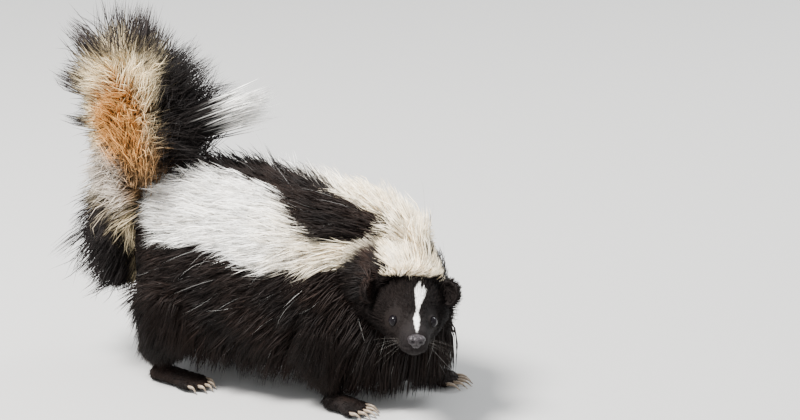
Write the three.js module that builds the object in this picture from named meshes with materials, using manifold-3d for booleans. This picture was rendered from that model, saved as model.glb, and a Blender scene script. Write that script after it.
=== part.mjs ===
// A striped skunk, life size, standing with its head low and turned to its right, its plumed tail raised.
// Millimetres. +X runs from tail to chest, +Y is the animal's left, +Z is up, and the feet stand on Z = 0.
import * as THREE from 'three';
import { mergeVertices } from 'three/addons/utils/BufferGeometryUtils.js';
import Module from 'manifold-3d';

const wasm = await Module();
wasm.setup();

const GAP = 0.3; // clearance between nodes that touch

// A station of a body is its centre, half width, and reach above and below the centre, coat and all.
const TRUNK = [
  { at: [-150, 0, 92], w: 52, up: 50, down: 60 },
  { at: [-118, 0, 96], w: 66, up: 74, down: 78 },
  { at: [-72, 0, 100], w: 76, up: 86, down: 87 },
  { at: [-20, 0, 101], w: 78, up: 88, down: 88 },
  { at: [35, 2, 101], w: 71, up: 83, down: 87 },
  { at: [80, 6, 98], w: 62, up: 78, down: 84 },
  { at: [116, 9, 88], w: 53, up: 62, down: 72 },
  { at: [146, 10, 70], w: 42, up: 40, down: 52 },
];
const NECK = [
  { at: [76, -2, 120], w: 54, up: 46, down: 50 },
  { at: [94, -14, 115], w: 50, up: 42, down: 46 },
  { at: [108, -27, 108], w: 45, up: 39, down: 40 },
  { at: [119, -40, 102], w: 40, up: 34, down: 34 },
];

// The head has its own frame: +X to the nose, +Y to its left, +Z up, from a point midway between the eyes.
const HEAD_AT = [139, -62, 97];
const HEAD_TURN = -57; // degrees from +X, so the face looks to the animal's right
const HEAD_TILT = -4;
const HEAD = [
  { at: [-50, 0, 0], w: 37, up: 37, down: 30 },
  { at: [-36, 0, -2], w: 38, up: 35, down: 28.5 },
  { at: [-22, 0, -4], w: 34, up: 31, down: 26 },
  { at: [-10, 0, -6], w: 27, up: 27, down: 23 },
  { at: [1, 0, -7], w: 19, up: 21.5, down: 20 },
  { at: [11, 0, -8], w: 15, up: 16.5, down: 17 },
  { at: [21, 0, -9.5], w: 13, up: 13, down: 14.5 },
  { at: [31, 0, -10], w: 10.5, up: 9.5, down: 11 },
];
const MUZZLE_END = 9; // length of the rounded end of the muzzle
const EYE = { at: [2.5, 14.6, -0.5], radius: 4.7, lid: 1.2 };
const EAR = { at: [-27, 32, 14], out: 10.5, across: 10, thick: 5.5, wall: 1.9 };
const NOSE = { at: [31.5, 0, -6], long: 6.5, wide: 8.2, high: 4.6, nostril: 1.8 };
const MOUTH = { from: 33, to: 3, below: 0.62, groove: 0.7, lip: 1.7 };

const LEGS = {
  foreleg_right: [
    { at: [50, -34, 86], w: 24, up: 26, down: 26 },
    { at: [45, -43, 60], w: 19, up: 22, down: 22 },
    { at: [50, -46, 36], w: 14, up: 16, down: 16 },
    { at: [58, -46, 12], w: 11, up: 12, down: 12 },
  ],
  foreleg_left: [
    { at: [84, 38, 84], w: 23, up: 26, down: 26 },
    { at: [82, 44, 60], w: 18, up: 21, down: 21 },
    { at: [88, 45, 36], w: 14, up: 16, down: 16 },
    { at: [96, 45, 12], w: 11, up: 12, down: 12 },
  ],
  hindleg_right: [
    { at: [-94, -38, 90], w: 32, up: 40, down: 40 },
    { at: [-92, -48, 60], w: 28, up: 34, down: 34 },
    { at: [-102, -50, 34], w: 19, up: 22, down: 23 },
    { at: [-105, -50, 12], w: 13, up: 13, down: 14 },
  ],
  hindleg_left: [
    { at: [-74, 38, 90], w: 32, up: 40, down: 40 },
    { at: [-72, 48, 60], w: 28, up: 34, down: 34 },
    { at: [-80, 50, 34], w: 19, up: 22, down: 23 },
    { at: [-82, 50, 12], w: 13, up: 13, down: 14 },
  ],
};
// A foot lies flat from its heel. The claws of a forefoot are long and those of a hind foot are short.
const FORE_FOOT = { long: 40, wide: 25, high: 15, claw: 11 };
const HIND_FOOT = { long: 58, wide: 26, high: 14, claw: 7 };
const FEET = {
  forepaw_right: { heel: [50, -46], turn: -6, size: FORE_FOOT, leg: 'foreleg_right' },
  forepaw_left: { heel: [88, 45], turn: 5, size: FORE_FOOT, leg: 'foreleg_left' },
  hindpaw_right: { heel: [-114, -50], turn: -8, size: HIND_FOOT, leg: 'hindleg_right' },
  hindpaw_left: { heel: [-92, 50], turn: 8, size: HIND_FOOT, leg: 'hindleg_left' },
};

// The tail's flesh is slim, and its long hair fans out from it to the plume's outline.
const TAIL = [
  { at: [-118, 0, 108], w: 20, up: 20, down: 20 },
  { at: [-146, 0, 132], w: 18, up: 18, down: 18 },
  { at: [-160, 0, 165], w: 16, up: 16, down: 16 },
  { at: [-164, -2, 205], w: 15, up: 15, down: 15 },
  { at: [-166, -5, 252], w: 12, up: 12, down: 12 },
];

// Locks of the long coat. They root in a core that lies this far under the outline, and lean back as they
// rise.
const COAT = { depth: 15, long: 54, wide: 34, rows: 9, around: 12, lift: 27 };
// Locks of the plume, in rings from the tail's root to its tip. They leave the tail at the angle of spread
// and bend toward its tip, both in degrees.
const PLUME = {
  rings: [
    { along: 0.17, count: 8, spread: 86, bend: 40, long: 68 },
    { along: 0.29, count: 9, spread: 82, bend: 44, long: 68 },
    { along: 0.41, count: 9, spread: 78, bend: 46, long: 68 },
    { along: 0.54, count: 9, spread: 76, bend: 44, long: 68 },
    { along: 0.67, count: 9, spread: 72, bend: 40, long: 68 },
    { along: 0.80, count: 9, spread: 66, bend: 32, long: 70 },
    { along: 0.92, count: 8, spread: 54, bend: 24, long: 74 },
    { along: 0.98, count: 4, spread: 20, bend: 10, long: 66 },
  ],
  wide: 35,
  forward: 0.6, // how much longer the hair near the root is on the side toward the head
  hang: 1.5, // how strongly the hair behind the root hangs
};
// The white tuft that stands forward out of the plume.
const TUFT = { root: [-158, -3, 186], lie: [0.86, -0.04, 0.46], fan: 0.12, count: 3, long: 140, wide: 18 };

const rad = THREE.MathUtils.degToRad;
const vec = (a) => new THREE.Vector3(...a);

const sizeCurve = (stations) => new THREE.CatmullRomCurve3(
  stations.map((s) => new THREE.Vector3(s.w, s.up, s.down)), false, 'catmullrom', 0.5);

// A closed loft through stations: rings square to the line, with rounded ends of the given lengths.
// boxy below 1 squares off the lower half.
function loft(stations, options) {
  const { rings = 12, sides = 20, capA = 20, capB = 20, capRings = 3 } = options;
  const { grow = 0, over = [0, 0, 1], boxy = 1 } = options;
  const line = new THREE.CatmullRomCurve3(stations.map((s) => vec(s.at)));
  const sizes = sizeCurve(stations);
  const length = line.getLength();
  const capStep = (cap, i) => (cap * (1 - Math.cos((i * Math.PI) / 2 / capRings))) / length;
  const from = capA / length;
  const to = 1 - capB / length;
  const along = [];
  for (let i = 1; i <= capRings; i++) along.push(capStep(capA, i));
  for (let i = 1; i < rings; i++) along.push(from + ((to - from) * i) / rings);
  for (let i = capRings; i >= 1; i--) along.push(1 - capStep(capB, i));

  const roundEnd = (distance, cap) => (distance < cap ? Math.sqrt(1 - (1 - distance / cap) ** 2) : 1);
  const points = [line.getPoint(0).addScaledVector(line.getTangent(0), -grow)];
  for (const u of along) {
    const t = line.getUtoTmapping(u);
    const centre = line.getPoint(t);
    const tangent = line.getTangent(t);
    const size = sizes.getPoint(t);
    const up = vec(over).addScaledVector(tangent, -vec(over).dot(tangent)).normalize();
    const side = new THREE.Vector3().crossVectors(up, tangent);
    const round = Math.min(roundEnd(u * length, capA), roundEnd((1 - u) * length, capB));
    for (let j = 0; j < sides; j++) {
      const a = (2 * Math.PI * j) / sides;
      const power = Math.sin(a) < 0 ? boxy : 1;
      const across = (size.x * round + grow) * Math.sign(Math.cos(a)) * Math.abs(Math.cos(a)) ** power;
      const reach = (Math.sin(a) > 0 ? size.y : size.z) * round + grow;
      const high = reach * Math.sign(Math.sin(a)) * Math.abs(Math.sin(a)) ** power;
      points.push(centre.clone().addScaledVector(side, across).addScaledVector(up, high));
    }
  }
  points.push(line.getPoint(1).addScaledVector(line.getTangent(1), grow));

  const faces = [];
  const ring = (i, j) => 1 + i * sides + (j % sides);
  const last = points.length - 1;
  for (let j = 0; j < sides; j++) {
    faces.push(0, ring(0, j + 1), ring(0, j));
    for (let i = 0; i < along.length - 1; i++) {
      faces.push(ring(i, j), ring(i, j + 1), ring(i + 1, j + 1));
      faces.push(ring(i, j), ring(i + 1, j + 1), ring(i + 1, j));
    }
    faces.push(last, ring(along.length - 1, j), ring(along.length - 1, j + 1));
  }
  return new THREE.BufferGeometry().setFromPoints(points).setIndex(faces);
}

// Between three.js geometry and a solid that can be joined and cut.
function solid(geometry) {
  const bare = geometry.clone();
  for (const name of Object.keys(bare.attributes)) if (name !== 'position') bare.deleteAttribute(name);
  const merged = mergeVertices(bare, 1e-4);
  return new wasm.Manifold(new wasm.Mesh({
    numProp: 3,
    vertProperties: merged.attributes.position.array,
    triVerts: new Uint32Array(merged.index.array),
  }));
}
function geometryOf(shape) {
  const largest = shape.decompose().reduce((a, b) => (b.volume() > a.volume() ? b : a));
  const mesh = largest.getMesh();
  return new THREE.BufferGeometry()
    .setAttribute('position', new THREE.BufferAttribute(mesh.vertProperties, 3))
    .setIndex(new THREE.BufferAttribute(mesh.triVerts, 1));
}
const join = (shapes) => shapes.reduce((a, b) => a.add(b));
const ball = (at, [x, y, z], around = 12) => new THREE.SphereGeometry(1, around, Math.round(around * 0.6))
  .rotateX(Math.PI / 2).scale(x, y, z).translate(...at);
const tube = (points, radius, sides = 6) => loft(
  points.map((at) => ({ at, w: radius, up: radius, down: radius })),
  { rings: points.length - 1, sides, capA: radius, capB: radius, capRings: 1 });

const skunk = new THREE.Group();
const body = new THREE.Group();
skunk.add(body);
const looks = {
  fur: new THREE.MeshStandardMaterial({ color: 0x1b1513, roughness: 0.8 }),
  plume: new THREE.MeshStandardMaterial({ color: 0x8f7f6c, roughness: 0.85 }),
  eye: new THREE.MeshStandardMaterial({ color: 0x0a0708, roughness: 0.08 }),
  nose: new THREE.MeshStandardMaterial({ color: 0x3a3236, roughness: 0.45 }),
  paw: new THREE.MeshStandardMaterial({ color: 0x17120f, roughness: 0.7 }),
};
function put(name, shape, material) {
  const mesh = new THREE.Mesh(geometryOf(shape), material);
  mesh.name = name;
  body.add(mesh);
}

const headFrame = new THREE.Matrix4().compose(
  vec(HEAD_AT),
  new THREE.Quaternion().setFromEuler(new THREE.Euler(rad(HEAD_TILT), 0, rad(HEAD_TURN), 'ZYX')),
  new THREE.Vector3(1, 1, 1),
);
const onHead = (geometry) => solid(geometry.applyMatrix4(headFrame));
const mirrored = ([x, y, z], side) => [x, y * side, z];
const SIDES = { left: 1, right: -1 };

const TRUNK_ENDS = { capA: 34, capB: 28, boxy: 0.78 };
const TAIL_SHAPE = { rings: 9, sides: 12, capA: 8, capB: 12, over: [1, 0, 0] };
const trunk = (grow = 0) => solid(loft(TRUNK, { rings: 11, sides: 18, ...TRUNK_ENDS, grow }));
const neck = (grow = 0) => solid(loft(NECK, { rings: 5, sides: 20, capA: 12, capB: 10, grow }));
const skull = (grow = 0) => onHead(loft(HEAD, { rings: 12, sides: 20, capA: 16, capB: MUZZLE_END, grow }));
const leg = (name, grow = 0) => solid(
  loft(LEGS[name], { rings: 6, sides: 12, capA: 14, capB: 6, over: [1, 0, 0], grow }));
const tail = (grow = 0) => solid(loft(TAIL, { ...TAIL_SHAPE, grow }));

// The line of the mouth runs along both sides of the muzzle and meets under the nose.
function mouthLine(side) {
  const centres = new THREE.CatmullRomCurve3(HEAD.map((s) => vec(s.at)));
  const sizes = sizeCurve(HEAD);
  const points = [];
  const steps = 7;
  for (let i = 0; i <= steps; i++) {
    const x = THREE.MathUtils.lerp(MOUTH.to, MOUTH.from + 5, i / steps);
    let t = 0;
    while (t < 1 && centres.getPoint(t).x < x) t += 0.005;
    t = Math.min(t, 1);
    const end = Math.max(0, x - (HEAD.at(-1).at[0] - MUZZLE_END));
    const round = Math.sqrt(Math.max(0, 1 - (end / MUZZLE_END) ** 2));
    const size = sizes.getPoint(t);
    const level = centres.getPoint(t).z - size.z * MOUTH.below;
    const across = size.x * round * Math.sqrt(1 - MOUTH.below ** 2);
    points.push([Math.min(x, HEAD.at(-1).at[0]), side * across, level]);
  }
  return points;
}
const eyeBall = (side, grow = 0) => onHead(
  ball(mirrored(EYE.at, side), Array(3).fill(EYE.radius + grow), 12));
function lids(side) {
  const ring = new THREE.TorusGeometry(EYE.radius, EYE.lid, 6, 14).scale(1.1, 0.86, 1);
  const outward = new THREE.Vector3(0.55, side * 0.8, 0.24).normalize();
  ring.applyQuaternion(new THREE.Quaternion().setFromUnitVectors(new THREE.Vector3(0, 0, 1), outward));
  const at = vec(mirrored(EYE.at, side)).addScaledVector(outward, 1.6);
  return onHead(ring.translate(at.x, at.y, at.z));
}
function earBlock(side, at, size) {
  const turn = new THREE.Matrix4()
    .makeRotationFromEuler(new THREE.Euler(rad(-48 * side), rad(-12), rad(34 * side), 'ZYX'));
  return onHead(ball(at, size, 12).applyMatrix4(turn).translate(...mirrored(EAR.at, side)));
}
const earBack = (side, grow = 0) => earBlock(
  side, [0, 0, 0], [EAR.thick + grow, EAR.across + grow, EAR.out + grow]);
const earCup = (side) => earBack(side).subtract(
  earBlock(side, [EAR.thick * 0.75, 0, 0.5], [EAR.thick, EAR.across - EAR.wall, EAR.out - EAR.wall]));
function nosePad() {
  const { at, long, wide, high, nostril } = NOSE;
  const pad = [
    ball(at, [long, wide, high], 12),
    ball([at[0] - 0.5, 0, at[2] - 2.6], [long - 1.2, wide * 0.5, high * 0.8], 10),
  ];
  const holes = [-1, 1].map((side) => onHead(
    ball([at[0] + long * 0.82, side * wide * 0.52, at[2] - 0.6], [2.6, nostril, nostril * 0.8], 8)));
  return join(pad.map(onHead)).subtract(join(holes));
}

// A repeatable run of numbers from 0 to 1.
function randomRun(seed) {
  let state = seed;
  return () => {
    state = (Math.imul(state, 1664525) + 1013904223) >>> 0;
    return state / 2 ** 32;
  };
}

// One flat tapered lock: it leaves its root along `way` and bends toward `lie`, with a low ridge on its outer
// face.
function lock({ root, way, lie, out, long, wide }) {
  const widths = [0.6, 1, 0.8];
  const centres = [root.clone()];
  for (let i = 0; i < widths.length; i++) {
    const step = way.clone().lerp(lie, i / (widths.length - 1)).normalize();
    centres.push(centres.at(-1).clone().addScaledVector(step, long / widths.length));
  }
  const points = [];
  widths.forEach((share, i) => {
    const forward = centres[i + 1].clone().sub(centres[Math.max(0, i - 1)]).normalize();
    const side = new THREE.Vector3().crossVectors(forward, out).normalize();
    const ridge = new THREE.Vector3().crossVectors(side, forward);
    const half = (wide * share) / 2;
    points.push(centres[i].clone().addScaledVector(side, half).addScaledVector(ridge, -half * 0.3));
    points.push(centres[i].clone().addScaledVector(ridge, half * 0.45));
    points.push(centres[i].clone().addScaledVector(side, -half).addScaledVector(ridge, -half * 0.3));
  });
  points.push(centres.at(-1));
  const faces = [0, 1, 2];
  for (let i = 0; i < widths.length; i++) {
    for (let j = 0; j < 3; j++) {
      const a = i * 3 + j;
      const b = i * 3 + ((j + 1) % 3);
      if (i < widths.length - 1) faces.push(a, b + 3, b, a, a + 3, b + 3);
      else faces.push(a, points.length - 1, b);
    }
  }
  return { centres, shape: solid(new THREE.BufferGeometry().setFromPoints(points).setIndex(faces)) };
}

// Whether a lock is rooted in its core, and the rooms of its neighbours cut off little of it.
function rooted(shape, core, rooms) {
  const kept = shape.subtract(rooms);
  const inCore = kept.intersect(core).volume();
  const whole = kept.volume() > 0.6 * shape.volume() && kept.decompose().length === 1;
  return whole && inCore > 0.04 * shape.volume();
}

function trunkLocks(core, rooms) {
  const line = new THREE.CatmullRomCurve3(TRUNK.map((s) => vec(s.at)));
  const sizes = sizeCurve(TRUNK);
  const random = randomRun(5);
  const locks = [];
  for (let row = 0; row < COAT.rows; row++) {
    for (let i = 0; i < COAT.around; i++) {
      const t = 0.1 + (0.86 * (row + 0.25 * random())) / COAT.rows;
      const a = (2 * Math.PI * (i + 0.5 * (row % 2) + 0.2 * random())) / COAT.around;
      const size = sizes.getPoint(t);
      const out = new THREE.Vector3(0, Math.cos(a), Math.sin(a));
      const across = size.x - COAT.depth - 6;
      const high = (Math.sin(a) > 0 ? size.y : size.z) - COAT.depth - 6;
      const root = line.getPoint(t).add(new THREE.Vector3(0, across * Math.cos(a), high * Math.sin(a)));
      const flank = Math.abs(Math.cos(a));
      const lie = new THREE.Vector3(-1, 0, -0.45 * flank).normalize();
      const lift = rad(COAT.lift + 8 * random());
      const way = lie.clone().multiplyScalar(Math.cos(lift)).addScaledVector(out, Math.sin(lift) * 1.4);
      const long = COAT.long * (0.85 + 0.3 * random());
      const wide = COAT.wide * (0.85 + 0.3 * random());
      const { centres, shape } = lock({ root, way, lie, out, long, wide });
      const clearOfGround = centres.every((p) => p.z > 9);
      if (clearOfGround && rooted(shape, core, rooms)) locks.push(shape);
    }
  }
  return locks;
}

function plumeLocks(core, rooms) {
  const line = new THREE.CatmullRomCurve3(TAIL.map((s) => vec(s.at)));
  const random = randomRun(9);
  const locks = [];
  for (const { along, count, spread, bend, long } of PLUME.rings) {
    const tangent = line.getTangent(along);
    const front = new THREE.Vector3(1, 0, 0).addScaledVector(tangent, -tangent.x).normalize();
    const side = new THREE.Vector3().crossVectors(tangent, front);
    const phase = random();
    for (let i = 0; i < count; i++) {
      const a = (2 * Math.PI * (i + phase + 0.3 * random())) / count;
      const radial = front.clone().multiplyScalar(Math.cos(a)).addScaledVector(side, Math.sin(a));
      const lean = rad(spread + 14 * (random() - 0.5));
      const bent = lean - rad(bend);
      const hang = PLUME.hang * Math.max(0, 1 - along / 0.55) * Math.max(0, 0.5 - Math.cos(a));
      const down = new THREE.Vector3(0, 0, -hang);
      const way = tangent.clone().multiplyScalar(Math.cos(lean)).addScaledVector(radial, Math.sin(lean))
        .addScaledVector(down, 0.5).normalize();
      const lie = tangent.clone().multiplyScalar(Math.cos(bent)).addScaledVector(radial, Math.sin(bent))
        .addScaledVector(down, 2).normalize();
      const ahead = PLUME.forward * Math.max(0, Math.cos(a)) * (1 - along);
      const length = long * (0.85 + 0.3 * random()) * (1 + ahead);
      const wide = PLUME.wide * (0.85 + 0.3 * random());
      const root = line.getPoint(along).addScaledVector(radial, 4);
      const out = tangent.clone().negate();
      const { shape } = lock({ root, way, lie, out, long: length, wide });
      if (rooted(shape, core, rooms)) locks.push(shape);
    }
  }
  const { root, lie, fan, count, long, wide } = TUFT;
  for (let i = 0; i < count; i++) {
    const turn = fan * (i - (count - 1) / 2);
    const way = vec(lie).applyAxisAngle(new THREE.Vector3(0, 1, 0), -turn).normalize();
    const out = new THREE.Vector3(0, -1, 0);
    locks.push(lock({ root: vec(root), way, lie: way, out, long: long * (1 - 0.1 * i), wide }).shape);
  }
  return locks;
}

function head() {
  const lips = Object.values(SIDES).map((side) => onHead(tube(mouthLine(side), MOUTH.lip)));
  const grooves = Object.values(SIDES).map((side) => onHead(
    tube(mouthLine(side).map(([x, y, z]) => [x + 0.8, y * 1.14, z - 0.5]), MOUTH.groove, 4)));
  const sockets = Object.values(SIDES).map((side) => eyeBall(side, GAP));
  return join([skull(), ...lips, ...Object.values(SIDES).map(lids)]).subtract(join([...grooves, ...sockets]));
}

function paw({ heel, turn, size }) {
  const pieces = [];
  const { long, wide, high, claw } = size;
  pieces.push(loft([
    { at: [0, 0, high * 0.42], w: wide * 0.36, up: high * 0.55, down: high * 0.5 },
    { at: [long * 0.4, 0, high * 0.42], w: wide * 0.42, up: high * 0.5, down: high * 0.5 },
    { at: [long * 0.8, 0, high * 0.34], w: wide * 0.46, up: high * 0.36, down: high * 0.42 },
  ], { rings: 3, sides: 10, capA: 6, capB: 5, capRings: 2 }));
  for (let toe = -2; toe <= 2; toe++) {
    const across = toe * wide * 0.2;
    const reach = long * (1 - 0.035 * toe * toe);
    const bend = toe * 0.8;
    const joints = [[long * 0.6, across, 4.6], [reach - 6, across + bend, 4.8], [reach, across + bend, 3.4]];
    pieces.push(tube(joints, 2.7, 5));
    pieces.push(loft([
      { at: [reach - 3, across + bend, 5], w: 1.3, up: 1.7, down: 1.7 },
      { at: [reach + claw * 0.5, across + bend * 1.3, 4.8], w: 1, up: 1.2, down: 1.2 },
      { at: [reach + claw, across + bend * 1.6, 1.4], w: 0.4, up: 0.4, down: 0.4 },
    ], { rings: 2, sides: 4, capA: 1, capB: 0.5, capRings: 1 }));
  }
  const place = new THREE.Matrix4().makeRotationZ(rad(turn)).setPosition(heel[0], heel[1], 0);
  return join(pieces.map((piece) => solid(piece.applyMatrix4(place))));
}

const belowFloor = solid(new THREE.BoxGeometry(900, 900, 100).translate(0, 0, -50));
const clearOfEars = join(Object.values(SIDES).map((side) => earBack(side, GAP)));
const core = (grow = 0) => trunk(grow - COAT.depth);
const coreRoom = core(GAP);
const legRoom = join(Object.keys(LEGS).map((name) => leg(name, GAP)));
// Behind the trunk, its coat stops at its outline, and the plume starts a gap beyond it.
const behind = solid(new THREE.BoxGeometry(240, 400, 400).translate(-180, 0, 150)).subtract(trunk());

const trunkRooms = join([neck(GAP), skull(GAP), clearOfEars, legRoom, behind]);
const tailRooms = join([trunk(GAP), coreRoom]);
const tailCore = tail().subtract(coreRoom);

const coat = join(trunkLocks(core(), trunkRooms)).subtract(tail(GAP));
put('torso', join([core(), coat]).subtract(trunkRooms), looks.fur);
put('neck', neck().subtract(coreRoom).subtract(skull(GAP)).subtract(clearOfEars), looks.fur);
put('head', head().subtract(coreRoom), looks.fur);
put('nose', nosePad().subtract(skull(GAP)), looks.nose);
for (const [name, side] of Object.entries(SIDES)) {
  put(`eye_${name}`, eyeBall(side), looks.eye);
  put(`ear_${name}`, earCup(side).subtract(skull(GAP)).subtract(coreRoom), looks.fur);
}
for (const [name, foot] of Object.entries(FEET)) {
  put(foot.leg, leg(foot.leg).subtract(coreRoom), looks.fur);
  put(name, paw(foot).subtract(leg(foot.leg, GAP)).subtract(belowFloor), looks.paw);
}
put('tail', join([tailCore, join(plumeLocks(tailCore, tailRooms)).subtract(tailRooms)]), looks.plume);

body.updateMatrixWorld(true);
const box = new THREE.Box3().setFromObject(body);
body.position.set(-(box.min.x + box.max.x) / 2, -(box.min.y + box.max.y) / 2, 0);

export default skunk;
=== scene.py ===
"""A striped skunk, life size, with its long coat as tufts of hair over one continuous skin.

Sizes are in millimetres in the animal's own frame: +X runs from tail to chest, +Y is the animal's left,
+Z is up, and the floor is Z = 0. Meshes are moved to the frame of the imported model, in metres, when they
are made.
"""
import itertools
import math

import bpy
import numpy as np
from mathutils import Euler, Matrix, Vector, kdtree


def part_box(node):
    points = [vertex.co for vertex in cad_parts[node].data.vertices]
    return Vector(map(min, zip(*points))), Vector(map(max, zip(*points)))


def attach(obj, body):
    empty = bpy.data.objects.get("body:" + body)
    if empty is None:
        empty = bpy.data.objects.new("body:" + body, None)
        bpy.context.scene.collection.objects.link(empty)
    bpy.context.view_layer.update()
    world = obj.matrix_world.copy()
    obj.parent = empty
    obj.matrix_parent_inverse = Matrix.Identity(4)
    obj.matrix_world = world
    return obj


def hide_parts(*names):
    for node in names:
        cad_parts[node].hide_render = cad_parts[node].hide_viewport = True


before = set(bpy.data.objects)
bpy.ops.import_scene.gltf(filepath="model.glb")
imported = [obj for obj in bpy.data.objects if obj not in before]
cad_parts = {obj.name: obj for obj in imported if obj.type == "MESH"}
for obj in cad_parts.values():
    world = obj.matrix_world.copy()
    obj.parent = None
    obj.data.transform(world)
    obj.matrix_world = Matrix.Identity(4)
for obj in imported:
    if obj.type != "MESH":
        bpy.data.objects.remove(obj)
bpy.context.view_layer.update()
MM = 0.001
SIDES = {"left": 1, "right": -1}

# The animal's sizes, as stations along its parts: the centre, half width, reach up and reach down
TRUNK = [
    ((-150, 0, 92), 52, 50, 60),
    ((-118, 0, 96), 66, 74, 78),
    ((-72, 0, 100), 76, 86, 87),
    ((-20, 0, 101), 78, 88, 88),
    ((35, 2, 101), 71, 83, 87),
    ((80, 6, 98), 62, 78, 84),
    ((116, 9, 88), 53, 62, 72),
    ((146, 10, 70), 42, 40, 52),
]
NECK = [
    ((76, -2, 120), 54, 46, 50),
    ((94, -14, 115), 50, 42, 46),
    ((108, -27, 108), 45, 39, 40),
    ((119, -40, 102), 40, 34, 34),
]
LEGS = {
    "foreleg_right": [((50, -34, 86), 24, 26, 26), ((45, -43, 60), 19, 22, 22),
                      ((50, -46, 36), 14, 16, 16), ((58, -46, 12), 11, 12, 12)],
    "foreleg_left": [((84, 38, 84), 23, 26, 26), ((82, 44, 60), 18, 21, 21),
                     ((88, 45, 36), 14, 16, 16), ((96, 45, 12), 11, 12, 12)],
    "hindleg_right": [((-94, -38, 90), 32, 40, 40), ((-92, -48, 60), 28, 34, 34),
                      ((-102, -50, 34), 19, 22, 23), ((-105, -50, 12), 13, 13, 14)],
    "hindleg_left": [((-74, 38, 90), 32, 40, 40), ((-72, 48, 60), 28, 34, 34),
                     ((-80, 50, 34), 19, 22, 23), ((-82, 50, 12), 13, 13, 14)],
}
# The fleshy tail inside the plume
TAIL_CORE = [
    ((-118, 0, 108), 17, 17, 17),
    ((-146, 0, 132), 14, 14, 14),
    ((-160, 0, 165), 11, 11, 11),
    ((-164, -2, 205), 9, 9, 9),
    ((-166, -5, 248), 6, 6, 6),
]
FORE_FOOT = dict(long=40, wide=25, high=15, claw=11)
HIND_FOOT = dict(long=58, wide=26, high=14, claw=7)
# Each foot's heel, turn in degrees and sizes
FEET = {
    "forepaw_right": ((50, -46), -6, FORE_FOOT),
    "forepaw_left": ((88, 45), 5, FORE_FOOT),
    "hindpaw_right": ((-114, -50), -8, HIND_FOOT),
    "hindpaw_left": ((-92, 50), 8, HIND_FOOT),
}

# The head's place and turn, and the rest in its own frame, where +X runs to the nose
HEAD_AT = (139, -62, 97)
HEAD_TURN = -57
HEAD_TILT = -4
HEAD = [
    ((-50, 0, 0), 37, 37, 30),
    ((-36, 0, -2), 38, 35, 28.5),
    ((-22, 0, -4), 34, 31, 26),
    ((-10, 0, -6), 27, 27, 23),
    ((1, 0, -7), 19, 21.5, 20),
    ((11, 0, -8), 15, 16.5, 17),
    ((21, 0, -9.5), 13, 13, 14.5),
    ((31, 0, -10), 10.5, 9.5, 11),
]
EYE_AT = (2.5, 14.6, -0.5)
EYE_RADIUS = 4.7
EYE_FORWARD = 1.2
LID_AHEAD = 0.8
LID_TALL = 1.2
EAR_AT = (-27, 32, 14)
EAR_SIZE = (5.5, 10, 10.5)
EAR_WALL = 1.9
NOSE_AT = (31.5, 0, -6)
NOSE_SIZE = (6.5, 8.2, 4.6)
MOUTH_BELOW = 0.62

# How deep the coat is over the skin, and how fine the skin's mesh is
DEPTH = {"trunk": 18, "neck": 13, "leg": 7}
COAT_OVER_SKIN = 9
BODY_VOXEL = 1.9
FACE_VOXEL = 0.75
NOSE_VOXEL = 0.35

# How far the coat of the trunk and neck reaches: along this level way at heights, and to the sides
LEVEL_WAY = (0.891, 0.454)
REACH_HEIGHT = (30, 55, 103, 112, 130, 150, 165)
REACH_AHEAD = (134, 137, 132, 126, 119, 115, 111)
REACH_BEHIND = (137, 137, 137, 138, 140, 152, 175)
REACH_LEFT = 91
REACH_RIGHT = 103

# The plume's outline
PLUME_TOP = 318
PLUME_BACK = 226
PLUME_LOW = 68
PLUME_LEFT = 84
PLUME_RIGHT = 98

# How the plume's hair leaves the tail, at places along it from the root: degrees from the line of the tail,
# and length, on the side toward the head and on the near, far and hind sides
PLUME_PLACE = (0, 0.25, 0.5, 0.7, 0.85, 1)
AHEAD_SPREAD = (70, 62, 60, 58, 48, 22)
BEHIND_SPREAD = (92, 86, 104, 86, 58, 28)
AHEAD_LENGTH = (46, 92, 112, 100, 82, 78)
BEHIND_LENGTH = (60, 80, 40, 31, 40, 80)
TUFT_ROOT = (-150, -8, 190)
TUFT_WAY = (0.90, -0.01, 0.41)

# Hairs: the width along each from its root, how far it settles onto the coat, its patch of the bake map
TAPER_PLACE = (0, 0.3, 0.75, 1)
TAPER = (0.8, 1.0, 0.6, 0.1)
SETTLE = 0.5
PATCH = 0.003
MOST_TRIANGLES = 190000

BLACK = np.array((0.0060, 0.0045, 0.0042))
BROWN = np.array((0.0175, 0.0098, 0.0072))
WHITE = np.array((0.96, 0.945, 0.91))
CREAM = np.array((0.86, 0.71, 0.45))
ORANGE = np.array((0.475, 0.235, 0.068))
TAN = np.array((0.27, 0.165, 0.085))
GREY = np.array((0.50, 0.45, 0.39))
MUZZLE = np.array((0.0130, 0.0108, 0.0110))

# The right stripe's edges, as degrees round the trunk from its left side over the back, at places along X
STRIPE_X = (-150, -103, -82, -58, -27, 0, 35, 57, 71, 84, 97, 106, 120)
LOWER = (150, 153, 154, 156, 164, 167, 164, 158, 150, 143, 138, 135, 133)
UPPER_X = (-150, -91, -42, -3, 8, 23, 43, 56, 66, 77, 88, 97, 106, 116)
UPPER = (98, 98, 107, 113, 123, 135, 140, 135, 132, 128, 125, 121, 110, 98)
FAR_UPPER_X = (-150, -60, 0, 15, 37, 56, 70, 89, 99, 110)
FAR_UPPER = (70, 72, 78, 83, 96, 102, 106, 107, 110, 116)
STRIPE_SOFT = 1.6

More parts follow.
